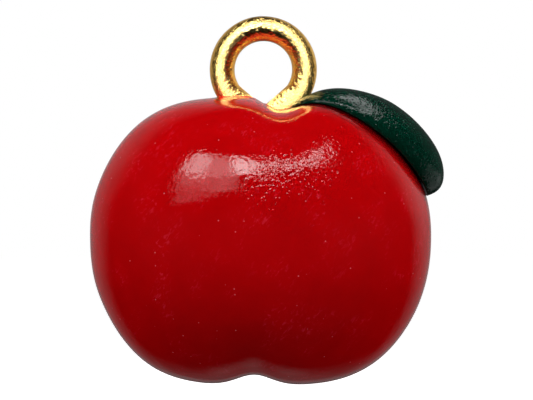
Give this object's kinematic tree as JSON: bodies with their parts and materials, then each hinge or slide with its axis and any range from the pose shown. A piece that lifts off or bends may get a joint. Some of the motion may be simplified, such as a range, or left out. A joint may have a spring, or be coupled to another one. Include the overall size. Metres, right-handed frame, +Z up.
{
  "type": "apple charm",
  "caption": "Small apple-shaped hanging charm: a glossy red two-lobed body with a plump green leaf over one shoulder and a gilt wire eye to hang it by.",
  "frame": {"origin": "centre of the wire eye's ring, where the charm hangs", "axes": "+Z up, -Y towards the front of the charm, +X to the side that carries the leaf"},
  "size_m": [0.017, 0.0146, 0.0177],
  "materials": {
    "red_lacquer": "glossy red lacquer over moulded resin, slightly uneven like orange peel",
    "green_lacquer": "glossy dark green lacquer with a fine uneven skin",
    "gilt_wire": "polished gold plating with fine drawing marks and small dents"
  },
  "bodies": {
    "root": {"apple_body": "red_lacquer", "leaf": "green_lacquer", "wire_eye": "gilt_wire"}
  },
  "joints": []
}
